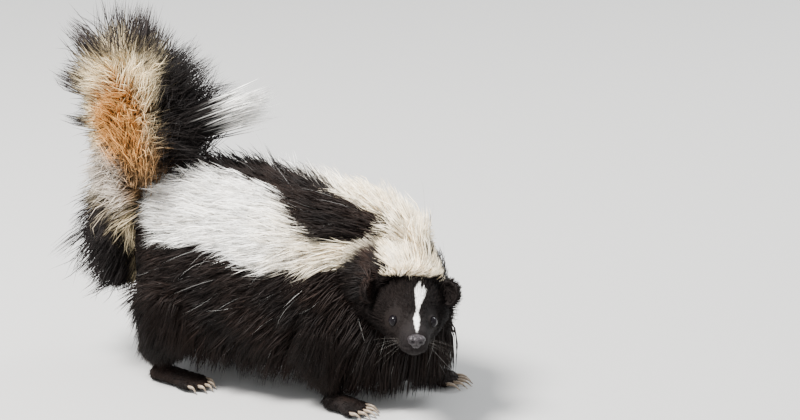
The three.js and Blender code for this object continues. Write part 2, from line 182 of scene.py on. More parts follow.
# In the head's frame: the cap's front edge and sides, and the blaze's middle and half width along X
CAP_EDGE = 36.6
CAP_SLOPE = 0.323
CAP_LEFT = (30.5, 29)
CAP_RIGHT = (-26, -24.5)
BLAZE_MIDDLE_X = (-20, -13, -6, 2, 9, 15, 30)
BLAZE_MIDDLE = (7.0, 6.3, 5.2, 3.4, 2.2, 1.2, 0.6)
BLAZE_HALF_X = (-24, -21, -17, -13, -5, 4, 9, 15, 22, 30)
BLAZE_HALF = (0, 1.2, 4.3, 4.8, 3.3, 1.6, 0.8, 2.6, 1.7, 0)

# The plume's dark back faces ahead and a little to the left. Its near edge is this far from the tail's line
DARK_WAY = (0.89, 0.45)
DARK_HEIGHT = (131, 154, 190, 226, 272, 300)
DARK_EDGE = (38, 34, 28, 27, 34, 38)
CORE_HEIGHT = (108, 132, 165, 205, 252)

# The photo's view
CAMERA_AROUND = 27
CAMERA_ABOVE = 18
CAMERA_AWAY = 3000
PHOTO = (800, 420)
PIXELS_PER_MM = 1.18
GROUND_PIXEL = (299, 380)

FLOOR_HALF = 6
FLOOR_COLOUR = (0.43, 0.426, 0.418, 1)
SKY_COLOUR = (0.94, 0.97, 1.0, 1)
SKY_STRENGTH = 1.2
# Lights in metres and watts: name, place, aim, size, power and colour
LIGHTS = [
    ("key", (-0.5, -0.8, 1.9), (0, 0, 0.12), 0.7, 200, (1.0, 0.98, 0.95)),
    ("face", (1.3, -2.0, 0.9), (0.1, 0, 0.1), 0.6, 12, (1.0, 0.98, 0.96)),
    ("rim", (0.6, 1.6, 1.3), (0, 0, 0.15), 0.8, 34, (0.95, 0.98, 1.0)),
]


# Vectors and curves
def unit(v):
    return v / np.maximum(np.linalg.norm(v, axis=-1, keepdims=True), 1e-9)


def flatten(v, normal):
    """v laid in the plane square to normal."""
    return unit(v - (v * normal).sum(-1, keepdims=True) * normal)


def smooth(low, high, x):
    t = np.clip((x - low) / (high - low), 0, 1)
    return t * t * (3 - 2 * t)


def past(x, soft):
    """1 where x is above zero and 0 where it is below, eased over soft on both sides."""
    return smooth(-soft, soft, x)


def bump(x, width):
    """1 where x is zero, fading over about a width on both sides."""
    return np.exp(-((x / width) ** 2))


def soft_limit(values, limit, ease):
    """Values eased off so that none passes the limit."""
    start = limit - ease
    return np.where(values > start, start + ease * np.tanh((values - start) / ease), values)


def mix(a, b, share):
    share = np.asarray(share)[..., None]
    return a * (1 - share) + b * share


def around(sides):
    return np.arange(sides) * 2 * math.pi / sides


def curve(knots, t):
    """Catmull-Rom through knots, t from 0 to 1."""
    knots = np.asarray(knots, float)
    n = len(knots) - 1
    x = np.clip(np.atleast_1d(t), 0, 1) * n
    i = np.minimum(x.astype(int), n - 1)
    f = (x - i)[:, None]
    padded = np.vstack([2 * knots[0] - knots[1], knots, 2 * knots[-1] - knots[-2]])
    a, b, c, d = padded[i], padded[i + 1], padded[i + 2], padded[i + 3]
    return 0.5 * (2 * b + (c - a) * f + (2 * a - 5 * b + 4 * c - d) * f**2 + (3 * b - a - 3 * c + d) * f**3)


def noise(points, size, seed=0):
    """Smooth noise, about -1 to 1, from a few sine waves of that size in mixed directions."""
    waves = np.random.default_rng(100 + seed)
    total = 0
    for octave in range(4):
        direction = unit(waves.normal(size=3)) * (2 * math.pi / size) * (1 + 0.6 * octave)
        total = total + np.sin(points @ direction + waves.uniform(0, 6.28)) / (1 + 0.5 * octave)
    return total / 2


def tree_of(points):
    """A search tree for the nearest of the points."""
    tree = kdtree.KDTree(len(points))
    for i, point in enumerate(points):
        tree.insert(point, i)
    tree.balance()
    return tree


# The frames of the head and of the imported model
def head_frame():
    turn = Euler((math.radians(HEAD_TILT), 0, math.radians(HEAD_TURN)), "XYZ").to_matrix().to_4x4()
    return np.array(Matrix.Translation(HEAD_AT) @ turn)


HEAD_FRAME = head_frame()


def on_head(points):
    points = np.atleast_2d(np.asarray(points, float))
    return points @ HEAD_FRAME[:3, :3].T + HEAD_FRAME[:3, 3]


def in_head(points):
    return (points - HEAD_FRAME[:3, 3]) @ HEAD_FRAME[:3, :3]


EYES = {side: on_head(np.array(EYE_AT) * (1, sign, 1))[0] for side, sign in SIDES.items()}


def frame_shift():
    """From the animal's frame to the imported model's, both in millimetres: the right eye is in both."""
    low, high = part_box("eye_right")
    packed = (np.array(low) + np.array(high)) / 2 / MM
    return packed - EYES["right"]


SHIFT = frame_shift()


# Forms
def loft_faces(rings, sides):
    """Faces of a closed body of rings of points, with a flat face at each end."""
    faces = []
    for i in range(rings - 1):
        for j in range(sides):
            k = (j + 1) % sides
            faces.append((i * sides + j, i * sides + k, (i + 1) * sides + k, (i + 1) * sides + j))
    faces.append(tuple(range(sides))[::-1])
    faces.append(tuple((rings - 1) * sides + j for j in range(sides)))
    return faces


def pole_faces(rings, sides):
    """Faces of a closed body of rings of points between a first and a last single point."""
    last = 1 + rings * sides
    faces = []
    for j in range(sides):
        k = (j + 1) % sides
        faces.append((0, 1 + j, 1 + k))
        for a in range(1, last - sides, sides):
            faces.append((a + j, a + sides + j, a + sides + k, a + k))
        faces.append((last, last - sides + k, last - sides + j))
    return faces


def ring_grid(rings, sides, margin=0):
    """The place along a form and the angle round it of each point of its rings, which crowd at both ends."""
    eased = (1 - np.cos(np.linspace(0, math.pi, rings))) / 2
    return np.repeat(margin + eased * (1 - 2 * margin), sides), np.tile(around(sides), rings)


class Form:
    """A rounded body round a smooth line of stations."""

    def __init__(self, stations, over=(0, 0, 1), ends=(20, 20), boxy=1):
        self.line = [s[0] for s in stations]
        self.sizes = [s[1:] for s in stations]
        self.over = np.array(over, float)
        self.ends = ends
        self.boxy = boxy  # below 1, the lower half is squared off
        steps = curve(self.line, np.linspace(0, 1, 200))
        self.length = np.linalg.norm(np.diff(steps, axis=0), axis=1).sum()

    def frame_at(self, t):
        centre = curve(self.line, t)
        behind, ahead = (curve(self.line, np.clip(t + step, 0, 1)) for step in (-0.002, 0.002))
        tangent = unit(ahead - behind)
        up = flatten(np.broadcast_to(self.over, tangent.shape), tangent)
        return centre, tangent, up, np.cross(up, tangent)

    def surface(self, t, angle, inset=0):
        centre, _, up, side = self.frame_at(t)
        size = np.maximum(curve(self.sizes, t) - inset, 2)
        first, second = self.ends
        inward = np.clip(t * self.length / first, 0, 1), np.clip((1 - t) * self.length / second, 0, 1)
        rounding = np.minimum(*[np.sqrt(1 - (1 - share) ** 2) for share in inward])[:, None]
        cosine, sine = np.cos(angle), np.sin(angle)
        power = np.where(sine < 0, self.boxy, 1)
        across = size[:, 0] * np.sign(cosine) * np.abs(cosine) ** power
        high = np.where(sine > 0, size[:, 1], size[:, 2]) * np.sign(sine) * np.abs(sine) ** power
        return centre + rounding * (across[:, None] * side + high[:, None] * up)

    def mesh(self, inset=0, rings=30, sides=32):
        t, angle = ring_grid(rings, sides, margin=inset / self.length * 0.8)
        return self.surface(t, angle, inset), loft_faces(rings, sides)

    def nearest(self, points):
        """The place along the line and the angle round it of the point of the line nearest to each point."""
        steps = np.linspace(0, 1, 120)
        line = curve(self.line, steps)
        chunks = [chunk for chunk in np.array_split(points, 40) if len(chunk)]
        best = np.concatenate([steps[((chunk[:, None] - line) ** 2).sum(2).argmin(1)] for chunk in chunks])
        centre, _, up, side = self.frame_at(best)
        away = points - centre
        return best, np.arctan2((away * up).sum(1), (away * side).sum(1))

    def gap(self, points, inset):
        """Roughly how far points are from the surface."""
        t, angle = self.nearest(points)
        centre = curve(self.line, t)
        surface = self.surface(np.clip(t, 0.02, 0.98), angle, inset)
        return np.abs(np.linalg.norm(points - centre, axis=1) - np.linalg.norm(surface - centre, axis=1))


trunk = Form(TRUNK, ends=(34, 28), boxy=0.78)
neck = Form(NECK, ends=(12, 10))
head = Form(HEAD, ends=(16, 9))
tail = Form(TAIL_CORE, over=(1, 0, 0), ends=(10, 14))
legs = {name: Form(stations, over=(1, 0, 0), ends=(14, 6)) for name, stations in LEGS.items()}


def ball(at, size, rings=16, sides=24):
    theta = np.repeat(np.linspace(0, math.pi, rings)[1:-1], sides)
    phi = np.tile(around(sides), rings - 2)
    round_it = np.stack([np.sin(theta) * np.cos(phi), np.sin(theta) * np.sin(phi), np.cos(theta)], 1)
    points = np.vstack([(0, 0, 1), round_it, (0, 0, -1)]) * size
    return points + np.asarray(at, float), pole_faces(rings - 2, sides)


def tube(points, radii, sides=10, flat=1.0):
    """A closed tapered tube along points."""
    points = np.asarray(points, float)
    tangent = unit(np.gradient(points, axis=0))
    up = flatten(np.broadcast_to(np.array((0.03, 0.02, 1.0)), tangent.shape), tangent)
    side = np.cross(up, tangent)
    phi = around(sides)
    rings = [c + r * (np.outer(np.cos(phi), s) + flat * np.outer(np.sin(phi), u))
             for c, r, s, u in zip(points, radii, side, up)]
    return np.vstack(rings), loft_faces(len(points), sides)


def joined(parts):
    points, faces, start = [], [], 0
    for part_points, part_faces in parts:
        points.append(part_points)
        faces += [tuple(i + start for i in face) for face in part_faces]
        start += len(part_points)
    return np.vstack(points), faces


# Objects
def new_object(name, points, faces):
    mesh = bpy.data.meshes.new(name)
    mesh.from_pydata([tuple(p) for p in (np.asarray(points) + SHIFT) * MM], [], faces)
    mesh.update()
    mesh.shade_smooth()
    obj = bpy.data.objects.new(name, mesh)
    bpy.context.collection.objects.link(obj)
    return obj


def dress(obj, look, slot, *replaced):
    """Gives a piece its material, the nodes it takes the place of, and its body. The slot is not used."""
    obj.data.materials.append(look)
    if replaced:
        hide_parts(*replaced)
    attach(obj, "root")


def applied(obj):
    """The object with its modifiers made into its mesh."""
    evaluated = obj.evaluated_get(bpy.context.evaluated_depsgraph_get())
    mesh = bpy.data.meshes.new_from_object(evaluated)
    old = obj.data
    obj.modifiers.clear()
    obj.data = mesh
    bpy.data.meshes.remove(old)
    mesh.name = obj.name
    mesh.shade_smooth()
    return obj


def remeshed(name, parts, voxel, steps):
    """One closed skin round the parts, relaxed in steps."""
    obj = new_object(name, *joined(parts))
    remesh = obj.modifiers.new("remesh", "REMESH")
    remesh.mode = "VOXEL"
    remesh.voxel_size = voxel * MM
    relax = obj.modifiers.new("relax", "SMOOTH")
    relax.iterations = steps
    relax.factor = 0.5
    return applied(obj)


def vertex_values(obj, key):
    flat = np.empty(len(obj.data.vertices) * 3)
    obj.data.vertices.foreach_get(key, flat)
    return flat.reshape(-1, 3)


def vertices_of(obj):
    return vertex_values(obj, "co") / MM - SHIFT


def normals_of(obj):
    return vertex_values(obj, "normal")


def set_vertices(obj, points):
    obj.data.vertices.foreach_set("co", ((points + SHIFT) * MM).ravel())
    obj.data.update()


def paint(obj, colours):
    """Stores a linear colour for each vertex, which the coat and skin materials read."""
    layer = obj.data.attributes.new("marking", "FLOAT_COLOR", "POINT")
    rgba = np.ones((len(colours), 4))
    rgba[:, :3] = colours
    layer.data.foreach_set("color", rgba.ravel())


# The outline, which the coat and the skin keep to
def keep_in_outline(paths, under=0):
    """Bends hairs in where they would stand out past the chest and far shoulder, or behind the rump.

    The skin is kept the same way, but a depth under the coat."""
    paths = paths.copy()
    along = paths[..., 0] * LEVEL_WAY[0] + paths[..., 1] * LEVEL_WAY[1]
    kept = soft_limit(along, np.interp(paths[..., 2], REACH_HEIGHT, REACH_AHEAD) - under, 12)
    kept = -soft_limit(-kept, np.interp(paths[..., 2], REACH_HEIGHT, REACH_BEHIND) - under * 0.6, 10)
    paths[..., 0] += (kept - along) * LEVEL_WAY[0]
    paths[..., 1] += (kept - along) * LEVEL_WAY[1]
    paths[..., 1] = soft_limit(paths[..., 1], REACH_LEFT, 8)
    paths[..., 1] = -soft_limit(-paths[..., 1], REACH_RIGHT, 8)
    return paths


def keep_in_plume(paths):
    """Bends hairs in where they would reach past the plume's outline."""
    paths = paths.copy()
    paths[..., 2] = soft_limit(paths[..., 2], PLUME_TOP, 18)
    paths[..., 0] = -soft_limit(-paths[..., 0], PLUME_BACK, 14)
    paths[..., 2] = -soft_limit(-paths[..., 2], -PLUME_LOW, 34)
    paths[..., 1] = soft_limit(paths[..., 1], PLUME_LEFT, 16)
    paths[..., 1] = -soft_limit(-paths[..., 1], PLUME_RIGHT, 16)
    return paths


def above_floor(paths, floor=0.6):
    paths = paths.copy()
    paths[..., 2] = np.maximum(paths[..., 2], floor)
    return paths


# The skin
def on_foot(parts, heel, turn):
    """Parts made with the heel at the origin and the toes toward +X, moved to where the foot stands."""
    c, s = math.cos(math.radians(turn)), math.sin(math.radians(turn))
    placed = []
    for points, faces in parts:
        x, y, z = points.T
        placed.append((np.stack([heel[0] + c * x - s * y, heel[1] + s * x + c * y, z], 1), faces))
    return placed


def toes(size):
    """For each toe, its place across the foot, its reach, and how far its tip bends outward."""
    long, wide = size["long"], size["wide"]
    return [(toe * wide * 0.2, long * (1 - 0.035 * toe * toe), toe * 0.8) for toe in range(-2, 3)]


def foot_parts(heel, turn, size):
    """The sole, instep and toes of a foot, laid flat on the floor."""
    long, wide, high = size["long"], size["wide"], size["high"]
    instep = Form([((0, 0, high * 0.42), wide * 0.36, high * 0.55, high * 0.42),
                   ((long * 0.4, 0, high * 0.42), wide * 0.42, high * 0.5, high * 0.42),
                   ((long * 0.8, 0, high * 0.36), wide * 0.46, high * 0.36, high * 0.36)], ends=(6, 5))
    parts = [instep.mesh(rings=18, sides=24)]
    t = np.linspace(0, 1, 9)
    radius = 2.9 * np.sqrt(1 - np.clip((t - 0.75) / 0.27, 0, 1) ** 2)
    for across, reach, bend in toes(size):
        knots = [(long * 0.6, across, 4.9), (reach - 6, across + bend, 5.2), (reach, across + bend, 3.2)]
        parts.append(tube(curve(knots, t), radius, sides=12))
    return on_foot(parts, heel, turn)


def ear_cup(side):
    """A closed cup: an outer half shell, its rim, and an inner half shell."""
    sides, depth = 28, 9
    phi = around(sides)
    turn = np.array(Euler((math.radians(34 * side), math.radians(-12), math.radians(-48 * side))).to_matrix())
    shells = []
    for opening, wall, forward in ((112, 0, 0), (100, EAR_WALL, 1.2)):
        size = np.array(EAR_SIZE) - wall
        shells.append([np.array([(-size[0] + forward, 0, 0)])])
        for th in np.linspace(0, math.radians(opening), depth)[1:]:
            ring = [-np.cos(th) * np.ones(sides), np.sin(th) * np.cos(phi), np.sin(th) * np.sin(phi)]
            shells[-1].append(np.stack(ring, 1) * size + (forward, 0, 0))
    points = np.vstack(shells[0] + shells[1][::-1])
    faces = [(face[0], *face[:0:-1]) for face in pole_faces(2 * (depth - 1), sides)]
    return on_head(points @ turn.T + np.array(EAR_AT) * (1, side, 1)), faces


def mouth_line(side):
    """The line of the mouth on one side of the muzzle, from the cheek to under the nose."""
    t = np.linspace(0.52, 1.0, 24)
    centre = curve(head.line, t)
    size = curve(head.sizes, t)
    left = (1 - t) * head.length / 9
    rounding = np.sqrt(1 - np.clip(1 - left, 0, 1) ** 2)
    x = centre[:, 0] + 0.5
    y = side * size[:, 0] * rounding * math.sqrt(1 - MOUTH_BELOW**2) * 1.02
    z = centre[:, 2] - size[:, 2] * MOUTH_BELOW + 2.2 * smooth(0.75, 0.52, t)
    return on_head(np.stack([x, y, z], 1))


def distance_to(points, line):
    tree = tree_of(line)
    return np.array([tree.find(p)[2] for p in points])


def head_mesh():
    """The head under its coat: the coat is deep on the crown and cheeks and almost nothing on the muzzle."""
    rings, sides = 60, 56
    t, angle = ring_grid(rings, sides)
    depth = 1.0 + 7.0 * smooth(0.62, 0.1, t)
    centre = curve(head.line, t)
    away = head.surface(t, angle) - centre
    reach = np.linalg.norm(away, axis=1, keepdims=True)
    points = centre + away * np.maximum(1 - depth[:, None] / np.maximum(reach, 1), 0.3) * (reach > 1e-6)
    return on_head(points), loft_faces(rings, sides)


def shape_face(face):
    """Presses the line of the mouth in between its lips, and raises the lids and brow round each eye."""
    points, normals = vertices_of(face), normals_of(face)
    index = np.nonzero(in_head(points)[:, 0] > -18)[0]
    moved = np.zeros(len(points))
    mouth = np.minimum(*[distance_to(points[index], mouth_line(sign)) for sign in SIDES.values()])
    moved[index] += 0.9 * bump(mouth - 2.0, 1.2) - 1.3 * bump(mouth, 0.75)
    for side, sign in SIDES.items():
        out = HEAD_FRAME[:3, :3] @ unit(np.array((0.72, sign * 0.66, 0.22)))
        offset = points - EYES[side] - HEAD_FRAME[:3, 0] * LID_AHEAD
        along = offset @ out
        square = offset - along[:, None] * out
        rise = square @ HEAD_FRAME[:3, 2]
        radius = np.sqrt((square**2).sum(1) + (LID_TALL**2 - 1) * rise**2)
        front = (along > -4) & (np.linalg.norm(offset, axis=1) < 14)
        lid = 1.2 * bump(radius - EYE_RADIUS - 0.5, 1.1) * (1 + 0.5 * smooth(-2, 4, rise))
        pit = -3.8 * smooth(EYE_RADIUS + 0.8, EYE_RADIUS - 0.9, radius)
        moved += np.where(front, lid + pit, 0)
    set_vertices(face, points + normals * moved[:, None])


def make_skin():
    coarse = [trunk.mesh(DEPTH["trunk"]), neck.mesh(DEPTH["neck"]), tail.mesh()]
    coarse += [form.mesh(DEPTH["leg"]) for form in legs.values()]
    for foot in FEET.values():
        coarse += foot_parts(*foot)
    body = remeshed("skin_body", coarse, BODY_VOXEL, steps=6)
    points = vertices_of(body)
    points[:, 2] = np.maximum(points[:, 2], 0.0)
    clear = smooth(14, 24, points[:, 2]) * smooth(-112, -100, points[:, 0])
    points += (keep_in_outline(points, COAT_OVER_SKIN) - points) * clear[:, None]
    set_vertices(body, points)

    face = remeshed("skin_face", [head_mesh(), *map(ear_cup, SIDES.values())], FACE_VOXEL, steps=3)
    shape_face(face)
    union = body.modifiers.new("union", "BOOLEAN")
    union.operation = "UNION"
    union.solver = "MANIFOLD"
    union.object = face
    applied(body)
    bpy.data.objects.remove(face)
    body.name = "skin"
    return body


class Skin:
    """The skin's points, normals and triangles, and the part of the animal that each triangle is on."""

    def __init__(self, obj):
        self.points = vertices_of(obj)
        self.normals = normals_of(obj)
        obj.data.calc_loop_triangles()
        corners = np.empty(len(obj.data.loop_triangles) * 3, dtype=np.int32)
        obj.data.loop_triangles.foreach_get("vertices", corners)
        self.triangles = corners.reshape(-1, 3)
        a, b, c = (self.points[self.triangles[:, k]] for k in range(3))
        self.areas = np.linalg.norm(np.cross(b - a, c - a), axis=1) / 2
        self.centres = self.points[self.triangles].mean(1)
        self.part = parts_of(self.centres)

    def roots(self, want, count, seed):
        """Random places spread by area where want says, with their normals."""
        random = np.random.default_rng(seed)
        cumulative = np.cumsum(self.areas * want)
        corners = self.triangles[np.searchsorted(cumulative, random.uniform(0, cumulative[-1], count))]
        a, b = random.random((2, count))
        flip = a + b > 1
        a, b = np.where(flip, 1 - a, a), np.where(flip, 1 - b, b)
        shares = np.stack([1 - a - b, a, b], 1)[:, :, None]
        return (self.points[corners] * shares).sum(1), unit((self.normals[corners] * shares).sum(1))


def parts_of(points):
    """Which part each point is on: the form with the nearest surface, or a paw near the floor."""
    gaps = {"trunk": trunk.gap(points, DEPTH["trunk"]), "neck": neck.gap(points, DEPTH["neck"])}
    gaps["tail"] = tail.gap(points, 0)
    for name, form in legs.items():
        gaps[name] = form.gap(points, DEPTH["leg"])
    gaps["head"] = head.gap(in_head(points), 4) - 3
    part = np.array(list(gaps))[np.argmin(np.stack(list(gaps.values())), axis=0)]
    part[(points[:, 2] < 13) & (gaps["trunk"] > 4)] = "paw"
    return part


# The markings, shared by the skin and the coat
def trunk_white(points):
    """How white the coat is at points of the trunk, 0 to 1."""
    _, angle = trunk.nearest(points)
    degrees = np.degrees(angle) % 360
    x = points[:, 0]
    ragged = 3.2 * noise(points, 26, 1) + 2.2 * noise(points, 9, 2)
    lower = np.interp(x, STRIPE_X, LOWER) + ragged
    upper = np.interp(x, UPPER_X, UPPER) + 1.3 * ragged
    far_upper = np.interp(x, FAR_UPPER_X, FAR_UPPER) + ragged
    near = past(degrees - upper, STRIPE_SOFT) * past(lower - degrees, STRIPE_SOFT)
    near *= past(x + 127 - 0.65 * (degrees - 124) + 2 * ragged, 5)
    far = past(degrees - (180 - lower), STRIPE_SOFT) * past(far_upper - degrees, STRIPE_SOFT)
    return np.maximum(near, far * smooth(124, 112, x)) * smooth(-152, -140, x)


def cap_white(points):
    """The white cap over the nape. Its front edge runs straight across behind the ears."""
    x, y, z = in_head(points).T
    ragged = 0.9 * noise(points, 12, 3) + 0.6 * noise(points, 5, 4)
    above = z - CAP_EDGE - CAP_SLOPE * x
    across = smooth(*CAP_LEFT, y + ragged) * smooth(*CAP_RIGHT, y + ragged)
    return past(above + ragged, 0.7) * across * smooth(-14, -19, x) * smooth(-66, -60, x)


def blaze_white(points):
    """The blaze from the brow to the nose, with its pinch between the eyes."""
    x, y, z = in_head(points).T
    middle = np.interp(x, BLAZE_MIDDLE_X, BLAZE_MIDDLE)
    half = np.interp(x, BLAZE_HALF_X, BLAZE_HALF)
    ragged = 0.35 * noise(points, 4, 5)
    return smooth(0.5, -0.5, np.abs(y - middle) - half - ragged) * smooth(-2, 1, z) * (half > 0.01)


def body_colour(points):
    """The colour of the coat and skin at points of the trunk, neck, head and legs."""
    x, y, z = in_head(points).T
    head_share = smooth(-62, -50, x) * (np.abs(y) < 60)
    browned = 0.35 + 0.3 * noise(points, 60, 6) + 0.15 * noise(points, 14, 7)
    dark = mix(BLACK, BROWN, np.clip(browned, 0, 1) * (1 - 0.85 * head_share * smooth(-48, -38, x)))
    near_ear = bump(np.abs(y + 36), 4) * smooth(-18, -30, x) * (z > 4)
    dark = mix(dark, BROWN * 2.4, 0.4 * near_ear)
    creamed = smooth(-30, 60, points[:, 0]) * 0.7 + 0.15 * noise(points, 20, 8)
    white = mix(WHITE, CREAM, np.clip(creamed, 0, 1))
    share = np.maximum(trunk_white(points) * (1 - head_share), cap_white(points))
    colour = mix(dark, white, np.clip(share, 0, 1))
    muzzle = smooth(10, 26, x) * (np.abs(y) < 16) * head_share
    colour = mix(colour, MUZZLE, 0.6 * muzzle)
    return mix(colour, WHITE * 0.95, blaze_white(points) * head_share)


def tail_colour(points, along):
    """The plume: an orange heart, a cream ring, dark tips and back, and a pale and black hanging skirt.

    along runs from 0 at a hair's root to 1 at its tip."""
    height = points[:, 2]
    ragged = noise(points, 16, 11)
    core = curve(tail.line, np.interp(height, CORE_HEIGHT, (0, 0.25, 0.5, 0.75, 1)))
    ahead = (points[:, 0] - core[:, 0]) * DARK_WAY[0] + (points[:, 1] - core[:, 1]) * DARK_WAY[1]
    colour = mix(TAN, ORANGE, smooth(176, 204, height + 8 * ragged))
    from_heart = np.sqrt(((ahead + 2) / 24) ** 2 + ((height - 216) / 37) ** 2)
    ring = smooth(0.85, 1.2, from_heart + 0.15 * ragged)
    ring = ring * smooth(190, 222, height + 18 * smooth(0, -25, ahead))
    colour = mix(colour, CREAM * 0.92, ring)
    low = smooth(196, 178, height + 6 * ragged) * smooth(0.35, 0.6, along + 0.1 * ragged)
    colour = mix(colour, GREY, low * smooth(4, -10, ahead) * 0.9)
    tips = past(height - 276 + 0.2 * np.abs(ahead - 3) ** 1.15 + 8 * ragged, 6)
    colour = mix(colour, BLACK * 2.4, tips * smooth(0.3, 0.48, along + 0.1 * ragged))
    wisps = smooth(-27, -35, ahead + 5 * ragged) * smooth(165, 190, height)
    colour = mix(colour, BLACK * 2.2, wisps)
    dark_edge = np.interp(height, DARK_HEIGHT, DARK_EDGE)
    colour = mix(colour, BLACK * 1.5, past(ahead - dark_edge + 6 * ragged, 4))
    hanging = smooth(156, 140, height + 7 * ragged)
    colour = mix(colour, CREAM * 0.72, hanging * smooth(32, 24, ahead) * smooth(0.1, 0.3, along))
    black_edge = np.interp(height, (105, 150), (-33, -13))
    return mix(colour, BLACK * 1.6, hanging * smooth(4, -4, ahead - black_edge + 6 * ragged))


def skin_colours(points):
    t, _ = tail.nearest(points)
    from_core = np.linalg.norm(points - curve(tail.line, t), axis=1)
    on_tail = smooth(24, 16, from_core) * smooth(-122, -134, points[:, 0])
    return mix(body_colour(points), TAN * 0.6, on_tail)


# Materials
def material(name, roughness=0.5, specular=0.3, **sockets):
    made = bpy.data.materials.new(name)
    made.use_nodes = True
    shader = made.node_tree.nodes["Principled BSDF"]
    shader.inputs["Roughness"].default_value = roughness
    shader.inputs["Specular IOR Level"].default_value = specular
    for socket, value in sockets.items():
        shader.inputs[socket.replace("_", " ")].default_value = value
    return made


def texture(made, kind, **sockets):
    """A texture laid over the object's own coordinates."""
    nodes = made.node_tree.nodes
    node = nodes.new(kind)
    for socket, value in sockets.items():
        node.inputs[socket].default_value = value
    place = nodes.new("ShaderNodeTexCoord")
    made.node_tree.links.new(place.outputs["Object"], node.inputs["Vector"])
    return node


def roughen(made, height, strength, depth):
    """Raises the surface by a texture's output."""
    nodes, links = made.node_tree.nodes, made.node_tree.links
    rough = nodes.new("ShaderNodeBump")
    rough.inputs["Strength"].default_value = strength
    rough.inputs["Distance"].default_value = depth
    links.new(height, rough.inputs["Height"])
    links.new(rough.outputs["Normal"], nodes["Principled BSDF"].inputs["Normal"])


def marked(name, contrast, scale, roughness, specular, bumps=0.0):
    """A material that takes its colour from the markings, varied a little from place to place."""
    made = material(name, roughness, specular)
    nodes, links = made.node_tree.nodes, made.node_tree.links
    colour = nodes.new("ShaderNodeAttribute")
    colour.attribute_name = "marking"
    grain = texture(made, "ShaderNodeTexNoise", Scale=scale, Detail=3)
    spread = nodes.new("ShaderNodeMapRange")
    ends = {"From Min": 0.3, "From Max": 0.7, "To Min": 1 - contrast, "To Max": 1 + contrast}
    for socket, value in ends.items():
        spread.inputs[socket].default_value = value
    links.new(grain.outputs["Fac"], spread.inputs["Value"])
    vary = nodes.new("ShaderNodeMix")
    vary.data_type = "RGBA"
    vary.blend_type = "MULTIPLY"
    vary.inputs["Factor"].default_value = 1
    links.new(colour.outputs["Color"], vary.inputs["A"])
    links.new(spread.outputs["Result"], vary.inputs["B"])
    links.new(vary.outputs["Result"], nodes["Principled BSDF"].inputs["Base Color"])
    if bumps:
        roughen(made, grain.outputs["Fac"], bumps, 0.0004)
    return made


def grained(name, colour, light, scale, roughness, bumps, specular=0.4):
    """Skin or horn with a fine grain between two colours."""
    made = material(name, roughness, specular)
    nodes, links = made.node_tree.nodes, made.node_tree.links
    grain = texture(made, "ShaderNodeTexNoise", Scale=scale, Detail=4)
    ramp = nodes.new("ShaderNodeValToRGB")
    for element, place, shade in zip(ramp.color_ramp.elements, (0.35, 0.7), (colour, light)):
        element.position = place
        element.color = (*shade, 1)
    links.new(grain.outputs["Fac"], ramp.inputs["Fac"])
    links.new(ramp.outputs["Color"], nodes["Principled BSDF"].inputs["Base Color"])
    cells = texture(made, "ShaderNodeTexVoronoi", Scale=scale * 1.6)
    roughen(made, cells.outputs["Distance"], bumps, 0.0003)
    return made


# Hair
def hairs(full):
    return full


def clump(paths, roots, count, strength, seed):
    """Draws each hair towards the nearest of a few leading hairs, more so at its tip."""
    random = np.random.default_rng(seed)
    leaders = random.choice(len(roots), min(count, len(roots)), replace=False)
    tree = tree_of(roots[leaders])
    near = leaders[[tree.find(r)[1] for r in roots]]
    along = np.linspace(0, 1, paths.shape[1])[None, :, None]
    pull = strength * along**1.3 * random.uniform(0.6, 1.15, len(roots))[:, None, None]
    return paths + (paths[near] - paths) * np.clip(pull, 0, 0.95)


def grow(roots, normals, lie, length, lift, steps, seed, curl, droop=0.0, sink=1.5):
    """Paths of hairs: each leaves its root at the lift, in radians, and settles towards the lie of the coat.

    droop is a number, or one for each hair."""
    random = np.random.default_rng(seed)
    count = len(roots)
    wander = random.normal(size=(count, 3)) * curl
    bend = random.normal(size=(count, 3)) * curl
    at = roots - normals * sink
    path = [at]
    for k in range(steps):
        share = (k + 0.5) / steps
        angle = lift * (1 - SETTLE * share)
        way = lie * np.cos(angle)[:, None] + normals * np.sin(angle)[:, None]
        way = way + wander + bend * (share - 0.5) * 2
        way[:, 2] -= droop * share
        at = at + unit(way) * (length / steps)[:, None]
        path.append(at)
    return np.stack(path, 1)


def strand_triangles(rings):
    """Triangles of one three-sided hair: a face at the root, its sides, and the point at its tip."""
    triangles = [(0, 2, 1)]
    for i in range(rings):
        for k in range(3):
            a, b = i * 3 + k, i * 3 + (k + 1) % 3
            if i < rings - 1:
                triangles += [(a, b, b + 3), (a, b + 3, a + 3)]
            else:
                triangles.append((a, b, rings * 3))
    return np.array(triangles)


